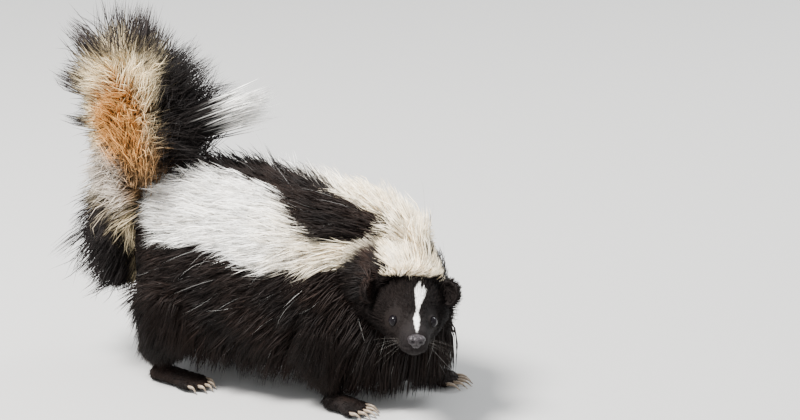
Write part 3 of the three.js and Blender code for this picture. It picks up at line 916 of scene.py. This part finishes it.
def hair_object(name, paths, width, colours, uv, look, slot):
    """Three-sided tapered hairs, closed at both ends, as one mesh."""
    count, rings = paths.shape[0], paths.shape[1] - 1
    forward = unit(np.gradient(paths, axis=1))
    first = unit(np.cross(forward, np.random.default_rng(len(paths)).normal(size=(count, 1, 3))))
    second = np.cross(forward, first)
    half = width[:, None] * np.interp(np.linspace(0, 1, rings + 1), TAPER_PLACE, TAPER)[None, :] / 2
    each = rings * 3 + 1
    points = np.empty((count, each, 3))
    for k in range(3):
        spin = 2 * math.pi * k / 3
        ring = paths + half[..., None] * (first * math.cos(spin) + second * math.sin(spin))
        points[:, k:rings * 3:3] = ring[:, :rings]
    points[:, -1] = paths[:, -1]
    corners = (strand_triangles(rings)[None] + (np.arange(count) * each)[:, None, None]).reshape(-1)
    mesh = bpy.data.meshes.new(name)
    mesh.vertices.add(count * each)
    mesh.vertices.foreach_set("co", ((points.reshape(-1, 3) + SHIFT) * MM).astype(np.float32).ravel())
    mesh.loops.add(len(corners))
    mesh.loops.foreach_set("vertex_index", corners.astype(np.int32))
    mesh.polygons.add(len(corners) // 3)
    mesh.polygons.foreach_set("loop_start", np.arange(0, len(corners), 3, dtype=np.int32))
    mesh.update(calc_edges=True)
    mesh.shade_smooth()
    ring_of = np.append(np.repeat(np.arange(rings), 3), rings)
    spot = np.stack([np.append(np.tile((0, 0.5, 1), rings), 0.5), ring_of / rings], 1) * PATCH
    place = uv[:, None, :] * (1 - PATCH) + spot[None]
    layer = mesh.uv_layers.new(name="OFBake")
    layer.uv.foreach_set("vector", place.reshape(-1, 2)[corners].astype(np.float32).ravel())
    obj = bpy.data.objects.new(name, mesh)
    bpy.context.collection.objects.link(obj)
    per_ring = np.concatenate([np.repeat(colours[:, :rings], 3, axis=1), colours[:, rings:]], 1)
    paint(obj, per_ring.reshape(-1, 3))
    dress(obj, look, slot)


def make_coat(name, paths, width, colours, seed, uv, look, slot="body_fur", spread=0.18):
    """A coat in pieces, each under the limit of triangles.

    The colours are one for each hair, or one for each step along each hair. Every hair is a little lighter
    or darker than the next."""
    tone = np.exp(np.random.default_rng(seed).normal(0, spread, len(paths)))[:, None, None]
    colours = colours.reshape(len(paths), -1, 3) * tone * np.ones(paths.shape)
    total = len(paths) * len(strand_triangles(paths.shape[1] - 1))
    order = np.argsort(uv[:, 0], kind="stable")
    for i, part in enumerate(np.array_split(order, math.ceil(total / MOST_TRIANGLES))):
        hair_object(f"{name}_{i + 1}", paths[part], width[part], colours[part], uv[part], look, slot)


def turns(angle):
    return (angle % (2 * math.pi)) / (2 * math.pi)


def unwrap(form, points):
    t, angle = form.nearest(points)
    return np.stack([np.clip(t, 0.02, 0.98), turns(angle)], 1)


def unwrap_head(points):
    x, y, z = in_head(points).T
    return np.stack([np.clip((x + 62) / 100, 0.01, 0.98), turns(np.arctan2(z + 6, y))], 1)


def unwrap_paws(points):
    return np.clip((points[:, :2] + (130, 75)) / (280, 150), 0, 0.99)


def trunk_lie(points, normals):
    """Back along the body, down over the flanks, rump and chest, and hanging along the belly's edge."""
    way = np.zeros_like(points) + np.array((-1.0, 0, 0))
    way[:, 2] -= 0.5 * smooth(0.95, 0.1, normals[:, 2])
    way[:, 1] += 0.28 * np.sign(points[:, 1]) * smooth(0.3, 0.9, normals[:, 2])
    rear = smooth(-0.15, -0.75, normals[:, 0])
    skirt = smooth(75, 40, points[:, 2])
    chest = smooth(0.1, 0.7, normals[:, 0]) * smooth(0.55, 0.15, normals[:, 2])
    way[:, 2] -= 1.8 * rear + 2.6 * skirt + 1.6 * chest
    way[:, 0] *= 1 - np.maximum(0.8 * chest, 0.5 * skirt)
    return flatten(way, normals)


def grow_trunk(skin, look):
    count = hairs(36000)
    seeds = itertools.count(11)
    roots, normals = skin.roots(skin.part == "trunk", count, next(seeds))
    random = np.random.default_rng(next(seeds))
    rear = smooth(-0.1, -0.7, normals[:, 0])
    chest = smooth(0.1, 0.7, normals[:, 0]) * smooth(0.55, 0.15, normals[:, 2])
    back = smooth(0.2, 0.9, normals[:, 2])
    under = smooth(-0.3, -0.8, normals[:, 2])
    skirt = smooth(84, 46, roots[:, 2]) * (1 - under)
    shoulders = smooth(60, 90, roots[:, 0])
    far_shoulder = smooth(0.2, 0.6, normals[:, 1]) * shoulders
    bib = smooth(0.05, 0.5, normals[:, 0]) * smooth(0.15, -0.35, normals[:, 2])
    length = 36 + 6 * back + 27 * skirt - 13 * rear - 10 * chest - 8 * under - 10 * far_shoulder + 22 * bib
    length = length * random.uniform(0.72, 1.12, count)
    erect = (random.random(count) < 0.3) * smooth(-20, -70, roots[:, 0]) * smooth(0.4, 0.8, normals[:, 2])
    lift = 29 + 5 * back - 13 * rear - 15 * chest - 8 * skirt - 12 * far_shoulder + 30 * erect + 20 * bib
    lift = lift - 12 * back * shoulders + random.normal(0, 8, count)
    droop = 0.12 + 0.75 * skirt + 0.25 * rear + 1.1 * bib
    paths = grow(roots, normals, trunk_lie(roots, normals), length, np.radians(np.maximum(lift, 4)), 3,
                 next(seeds), curl=0.18, droop=droop)
    paths = clump(paths, roots, count // 14, 0.62, next(seeds))
    paths = above_floor(keep_in_outline(paths), 5 + 8 * random.random(count)[:, None])
    width = random.uniform(0.75, 1.3, count)
    make_coat("coat_trunk", paths, width, body_colour(paths[:, 2]), next(seeds), unwrap(trunk, roots), look)


def grow_strays(skin, look):
    """Single long white hairs scattered over the dark flanks and back."""
    count = 260
    seeds = itertools.count(141)
    roots, normals = skin.roots((skin.part == "trunk") & (skin.centres[:, 2] > 50), count, next(seeds))
    random = np.random.default_rng(next(seeds))
    length = random.uniform(34, 58, count)
    lift = np.radians(random.uniform(22, 40, count))
    paths = grow(roots, normals, trunk_lie(roots, normals), length, lift, 5, next(seeds), curl=0.3, droop=0.2)
    paths = above_floor(keep_in_outline(paths), 5)
    width = random.uniform(0.2, 0.32, count)
    pale = np.tile(WHITE * 0.3, (count, 1))
    make_coat("coat_strays", paths, width, pale, next(seeds), unwrap(trunk, roots), look, spread=0.3)


def grow_neck(skin, look):
    count = hairs(10000)
    seeds = itertools.count(21)
    roots, normals = skin.roots(skin.part == "neck", count, next(seeds))
    random = np.random.default_rng(next(seeds))
    lie = flatten(np.zeros_like(roots) + np.array((-0.75, 0.5, -0.25)), normals)
    length = 22 * random.uniform(0.7, 1.15, count)
    lift = np.radians(22 - 10 * smooth(0.2, 0.7, normals[:, 0]) + random.normal(0, 4, count))
    paths = grow(roots, normals, lie, length, lift, 3, next(seeds), curl=0.08, droop=0.15)
    paths = above_floor(keep_in_outline(clump(paths, roots, count // 14, 0.55, next(seeds))))
    width = random.uniform(0.65, 1.0, count)
    make_coat("coat_neck", paths, width, body_colour(paths[:, 2]), next(seeds), unwrap(neck, roots), look)


def grow_legs(skin, look):
    for number, (name, form) in enumerate(legs.items()):
        count = hairs(3300)
        seeds = itertools.count(31 + number, 10)
        roots, normals = skin.roots(skin.part == name, count, next(seeds))
        random = np.random.default_rng(next(seeds))
        lie = flatten(np.zeros_like(roots) + np.array((-0.35, 0, -1.0)), normals)
        length = (12 + 22 * smooth(16, 60, roots[:, 2])) * random.uniform(0.75, 1.15, count)
        lift = np.radians(24 + random.normal(0, 6, count))
        paths = grow(roots, normals, lie, length, lift, 2, next(seeds), curl=0.12, droop=0.3)
        paths = above_floor(clump(paths, roots, count // 12, 0.5, next(seeds)), 5.0)
        width = random.uniform(0.6, 1.0, count)
        colours = body_colour(paths[:, 1])
        make_coat("coat_" + name, paths, width, colours, next(seeds), unwrap(form, roots), look)


def grow_paws(skin, look):
    count = hairs(5000)
    seeds = itertools.count(81)
    roots, normals = skin.roots((skin.part == "paw") & (skin.centres[:, 2] > 2.2), count, next(seeds))
    random = np.random.default_rng(next(seeds))
    lie = flatten(np.zeros_like(roots) + np.array((1.0, 0, -0.25)), normals)
    length = random.uniform(2.6, 4.6, count)
    lift = np.radians(18 + random.normal(0, 6, count))
    paths = above_floor(grow(roots, normals, lie, length, lift, 2, next(seeds), curl=0.1, sink=0.4), 0.3)
    width = random.uniform(0.4, 0.6, count)
    make_coat("coat_paws", paths, width, body_colour(roots), next(seeds), unwrap_paws(roots), look, "paw")


def bare_face(points):
    """Where the face has no hair: round the eyes and on the nose."""
    eyes = [np.linalg.norm(points - eye, axis=1) <= EYE_RADIUS + 1.5 for eye in EYES.values()]
    nose = np.linalg.norm((in_head(points) - np.array(NOSE_AT)) / (np.array(NOSE_SIZE) + 0.6), axis=1) <= 1
    return eyes[0] | eyes[1] | nose


def grow_head(skin, look):
    count = hairs(19000)
    seeds = itertools.count(91)
    denser = 0.6 + 1.2 * smooth(-30, 20, in_head(skin.centres)[:, 0])
    hairy = (skin.part == "head") & ~bare_face(skin.centres)
    roots, normals = skin.roots(hairy * denser, count, next(seeds))
    random = np.random.default_rng(next(seeds))
    local = in_head(roots)
    x = local[:, 0]
    lie = flatten(unit(roots - on_head((36, 0, -4))[0]), normals)
    ruff = smooth(-2, -34, x)
    from_ear = np.min([np.linalg.norm(local - np.array(EAR_AT) * (1, sign, 1), axis=1)
                       for sign in SIDES.values()], axis=0)
    from_eye = np.min([np.linalg.norm(roots - eye, axis=1) for eye in EYES.values()], axis=0)
    length = (2.4 + 3.4 * smooth(26, 0, x) + 9 * ruff) * random.uniform(0.7, 1.2, count)
    length *= 1 - 0.5 * smooth(20, 12, from_ear)
    length *= 1 - 0.62 * smooth(13, 8, from_eye)
    lift = np.radians(14 + 4 * smooth(15, 0, x) + 18 * ruff + random.normal(0, 5, count))
    paths = grow(roots, normals, lie, length, lift, 2, next(seeds), curl=0.07, sink=0.5)
    paths = clump(paths, roots, count // 10, 0.35, next(seeds))
    width = 0.38 + 0.03 * length
    make_coat("coat_head", paths, width, body_colour(paths[:, 1]), next(seeds), unwrap_head(roots), look)


def grow_tail(skin, look):
    """The plume: clumps of long hair, erect above, hanging below, and longest on the side toward the head."""
    count = hairs(17500)
    seeds = itertools.count(101)
    denser = 0.9 + 0.8 * smooth(150, 200, skin.centres[:, 2])
    roots, _ = skin.roots((skin.part == "tail") * denser, count, next(seeds))
    random = np.random.default_rng(next(seeds))
    t, _ = tail.nearest(roots)
    centre, tangent, _, _ = tail.frame_at(t)
    out = unit(roots - centre + 0.001)
    ahead = smooth(0.0, 0.7, out[:, 0])

    def by_side(toward_head, other):
        return np.interp(t, PLUME_PLACE, toward_head) * ahead + np.interp(t, PLUME_PLACE, other) * (1 - ahead)

    spread = np.radians(by_side(AHEAD_SPREAD, BEHIND_SPREAD) + random.normal(0, 10, count))
    way = tangent * np.cos(spread)[:, None] + out * np.sin(spread)[:, None]
    length = by_side(AHEAD_LENGTH, BEHIND_LENGTH)
    length *= random.uniform(0.6, 1.1, count)
    length *= np.where((random.random(count) < 0.06) & (ahead < 0.3), 1.6, 1.0)
    droop = 0.9 * smooth(0.6, 0.1, t) * (1 - ahead) + 0.06
    paths = grow(roots, way, way, length, np.zeros(count), 4, next(seeds), curl=0.16, droop=droop, sink=3)
    paths = keep_in_plume(clump(paths, roots, count // 34, 0.72, next(seeds)))
    shares = np.linspace(0, 1, paths.shape[1])
    colours = np.stack([tail_colour(paths[:, k], share) for k, share in enumerate(shares)], 1)
    width = random.uniform(0.7, 1.2, count)
    uv = unwrap(tail, roots)
    make_coat("coat_tail", paths, width, colours, next(seeds), uv, look, "tail_fur", spread=0.3)


def grow_tuft(look):
    """The white tuft that stands forward out of the plume."""
    count = 900
    seeds = itertools.count(131)
    random = np.random.default_rng(next(seeds))
    roots = np.array(TUFT_ROOT) + random.normal(0, 2.5, (count, 3))
    way = unit(np.array(TUFT_WAY) + random.normal(0, 1, (count, 3)) * (0.03, 0.03, 0.055))
    length = random.uniform(104, 151, count)
    paths = grow(roots, way, way, length, np.zeros(count), 6, next(seeds), curl=0.03, droop=0.05, sink=0)
    paths = clump(paths, roots, 16, 0.6, next(seeds))
    reached = np.linspace(0, 1, paths.shape[1]) * length[:, None]
    colours = mix(BLACK, WHITE, smooth(93, 110, reached))
    width = random.uniform(1.3, 2.0, count)
    make_coat("coat_tuft", paths, width, colours, next(seeds), unwrap(tail, roots), look, "tail_fur")


# Eyes, nose, claws and whiskers
def make_eyes(look):
    for side, sign in SIDES.items():
        forward = HEAD_FRAME[:3, :3] @ (np.array((0.7, 0.45 * sign, 0.1)) * EYE_FORWARD)
        eye = new_object("eyeball_" + side, *ball(EYES[side] + forward, EYE_RADIUS, rings=28, sides=40))
        dress(eye, look, "eye", "eye_" + side)


def make_nose(look):
    at, size = np.array(NOSE_AT), np.array(NOSE_SIZE)
    parts = [ball(at, size * (1, 0.86, 0.95)), ball(at + (-0.5, 0, -3.5), size * (0.8, 0.5, 0.8))]
    parts += [ball(at + (1.2, sign * 3.8, 0.3), (4.6, 3.6, 3.9)) for sign in SIDES.values()]
    nose = remeshed("nose_pad", [(on_head(points), faces) for points, faces in parts], NOSE_VOXEL, steps=5)
    points, normals = vertices_of(nose), normals_of(nose)
    local = in_head(points)
    moved = np.zeros(len(points))
    for sign in SIDES.values():
        nostril = (local - (at + (size[0] * 0.9, sign * 3.6, -0.6))) / (4.0, 2.1, 1.6)
        slit = (local - (at + (3.4, sign * 6.7, -0.9))) / (3.0, 1.4, 0.8)
        moved -= 2.6 * np.exp(-1.5 * (nostril**2).sum(1)) + 1.2 * np.exp(-(slit**2).sum(1))
    moved -= 0.7 * bump(local[:, 1], 0.5) * smooth(-4, -7, local[:, 2])
    set_vertices(nose, points + normals * moved[:, None])
    dress(nose, look, "nose", "nose")


def make_claws(look):
    t = np.linspace(0, 1, 9)
    radius = np.interp(t, (0, 0.3, 1), (1.3, 1.25, 0.2))
    for name, (heel, turn, size) in FEET.items():
        claw = size["claw"]
        parts = []
        for across, reach, bend in toes(size):
            knots = [(reach - 3, across + bend, 4.8), (reach + claw * 0.45, across + bend * 1.3, 5.2),
                     (reach + claw, across + bend * 1.6, 1.2)]
            parts.append(tube(curve(knots, t), radius, flat=1.25))
        dress(new_object("claws_" + name, *joined(on_foot(parts, heel, turn))), look, "paw")


def make_whiskers(look):
    random = np.random.default_rng(121)
    t = np.linspace(0, 1, 8)
    radius = np.interp(t, (0, 1), (0.06, 0.02))
    parts = []
    for sign in SIDES.values():
        for i in range(7):
            row, place = divmod(i, 3)
            root = np.array((24 - 3.4 * place, sign * (11.5 + 0.6 * place), -10.5 - 2.2 * row))
            way = np.array((0.35 - 0.45 * place, sign * 1.0, -0.15 - 0.22 * row)) + random.normal(0, 0.1, 3)
            length = random.uniform(16, 27)
            line = root + unit(way) * (length * t)[:, None] + np.array((-4.0, 0, -5.0)) * (t**2)[:, None]
            parts.append(tube(on_head(line), radius, sides=5))
    dress(new_object("whiskers", *joined(parts)), look, "body_fur")


# The stage
def make_camera():
    a, e = math.radians(CAMERA_AROUND), math.radians(CAMERA_ABOVE)
    right = np.array((math.cos(a), math.sin(a), 0))
    back = np.array((math.sin(a) * math.cos(e), -math.cos(a) * math.cos(e), math.sin(e)))
    up = np.cross(back, right)
    aim = ((PHOTO[0] / 2 - GROUND_PIXEL[0]) * right + (GROUND_PIXEL[1] - PHOTO[1] / 2) * up) / PIXELS_PER_MM
    pose = np.eye(4)
    pose[:3] = np.stack([right, up, back, (aim + CAMERA_AWAY * back + SHIFT) * MM], 1)
    data = bpy.data.cameras.new("camera")
    data.sensor_width = 36
    data.lens = PIXELS_PER_MM * CAMERA_AWAY * data.sensor_width / PHOTO[0]
    data.clip_end = 20
    camera = bpy.data.objects.new("camera", data)
    camera.matrix_world = Matrix(pose.tolist())
    bpy.context.collection.objects.link(camera)
    bpy.context.scene.camera = camera


def area_light(name, at, aim, size, power, colour):
    data = bpy.data.lights.new(name, "AREA")
    data.shape = "DISK"
    data.size = size
    data.energy = power
    data.color = colour
    light = bpy.data.objects.new(name, data)
    light.location = at
    light.rotation_euler = (Vector(aim) - Vector(at)).to_track_quat("-Z", "Y").to_euler()
    bpy.context.collection.objects.link(light)


def make_stage():
    h = FLOOR_HALF
    mesh = bpy.data.meshes.new("floor")
    mesh.from_pydata([(-h, -h, 0), (h, -h, 0), (h, h, 0), (-h, h, 0)], [], [(0, 1, 2, 3)])
    floor = bpy.data.objects.new("floor", mesh)
    bpy.context.collection.objects.link(floor)
    mesh.materials.append(material("pale_floor", roughness=0.9, specular=0.1, Base_Color=FLOOR_COLOUR))
    world = bpy.data.worlds.new("studio")
    world.use_nodes = True
    world.node_tree.nodes["Background"].inputs["Color"].default_value = SKY_COLOUR
    world.node_tree.nodes["Background"].inputs["Strength"].default_value = SKY_STRENGTH
    bpy.context.scene.world = world
    for light in LIGHTS:
        area_light(*light)


# Building
make_camera()
make_stage()

skin_object = make_skin()
skin = Skin(skin_object)
paint(skin_object, skin_colours(skin.points))
skin_object.data.materials.clear()
dress(skin_object, marked("skin", 0.25, 900, 0.75, 0.08, bumps=0.6), "body_fur",
      "torso", "neck", "head", "ear_left", "ear_right", "tail", *legs, *FEET)

coat_look = marked("coat", 0.16, 260, 0.6, 0.14)
plume_look = marked("plume", 0.18, 200, 0.6, 0.16)
for grow_part in (grow_trunk, grow_strays, grow_neck, grow_legs, grow_paws):
    grow_part(skin, coat_look)
grow_head(skin, marked("face_coat", 0.16, 260, 0.7, 0.06))
grow_tail(skin, plume_look)
grow_tuft(plume_look)

make_eyes(material("wet_eye", roughness=0.2, specular=0.5, Base_Color=(0.004, 0.003, 0.004, 1), IOR=1.22))
make_nose(grained("nose_skin", (0.009, 0.007, 0.008), (0.026, 0.020, 0.023), 900, 0.42, 0.7, specular=0.3))
make_claws(grained("claw_horn", (0.16, 0.12, 0.085), (0.34, 0.27, 0.20), 300, 0.35, 0.15))
make_whiskers(material("whisker", roughness=0.4, specular=0.4, Base_Color=(0.10, 0.09, 0.08, 1)))
